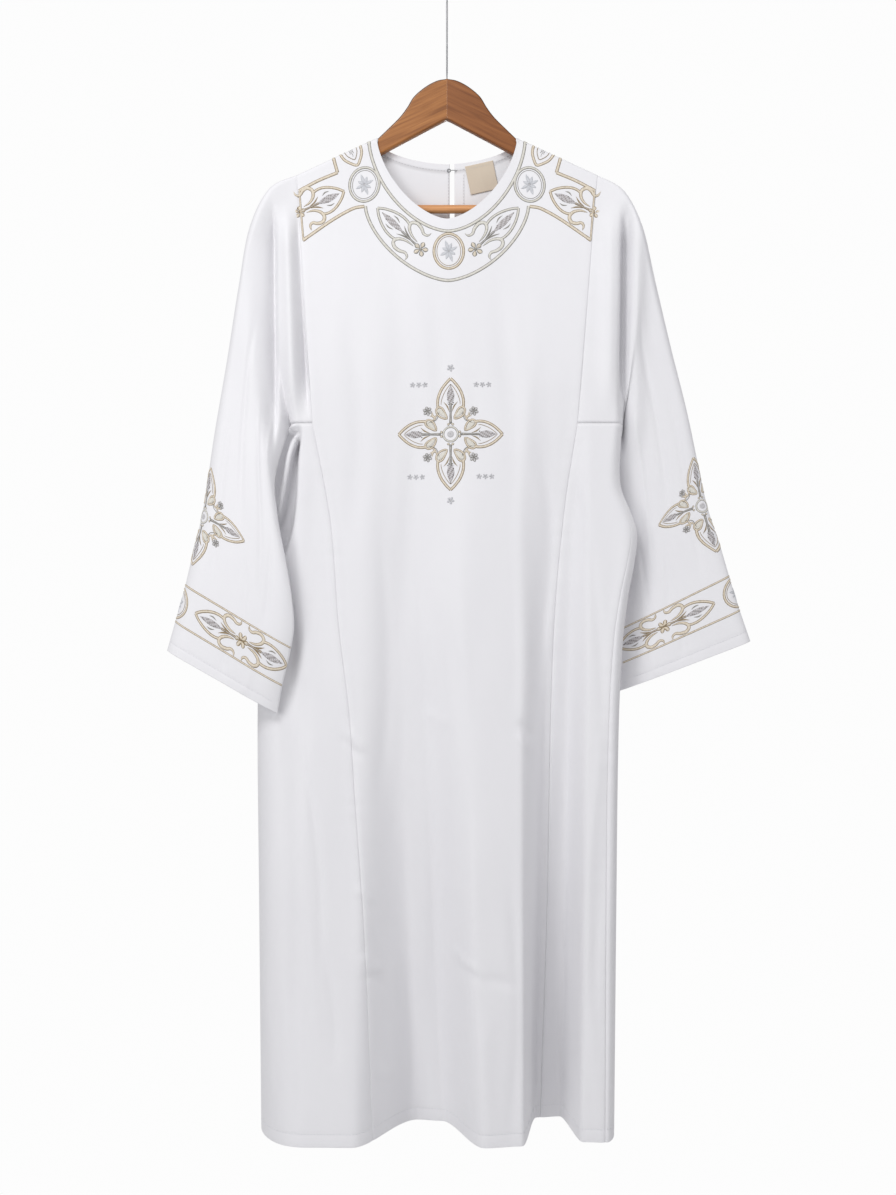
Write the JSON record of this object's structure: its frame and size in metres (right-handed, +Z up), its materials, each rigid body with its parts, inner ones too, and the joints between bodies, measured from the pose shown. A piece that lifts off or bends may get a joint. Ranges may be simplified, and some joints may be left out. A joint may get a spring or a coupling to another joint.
{
  "type": "coptic deacon tunic on a wooden hanger",
  "caption": "Ankle-length white vestment tunic with wide sleeves and side gores, hanging on a flat wooden hanger with a long wire hook.",
  "frame": {"origin": "inside top of the hanger's hook, where a rail carries it", "axes": "+Z up, the tunic's front faces -Y, +X to the viewer's right seen from the front"},
  "size_m": [0.8095, 0.1761, 1.6244],
  "materials": {
    "cloth": "smooth white polyester twill with a soft sheen, gold and silver-grey embroidery",
    "label": "beige woven tape, bare",
    "wood": "reddish brown stain under clear satin lacquer",
    "steel": "bright drawn wire"
  },
  "bodies": {
    "root": {"front": "cloth", "back": "cloth", "side_front_left": "cloth", "side_front_right": "cloth", "side_back_left": "cloth", "side_back_right": "cloth", "sleeve_left": "cloth", "sleeve_right": "cloth", "label": "label", "clasp_eye": "steel", "clasp_hook": "steel", "hanger_arm_left": "wood", "hanger_arm_right": "wood", "hanger_bar": "wood", "hanger_hook": "steel"}
  },
  "joints": []
}
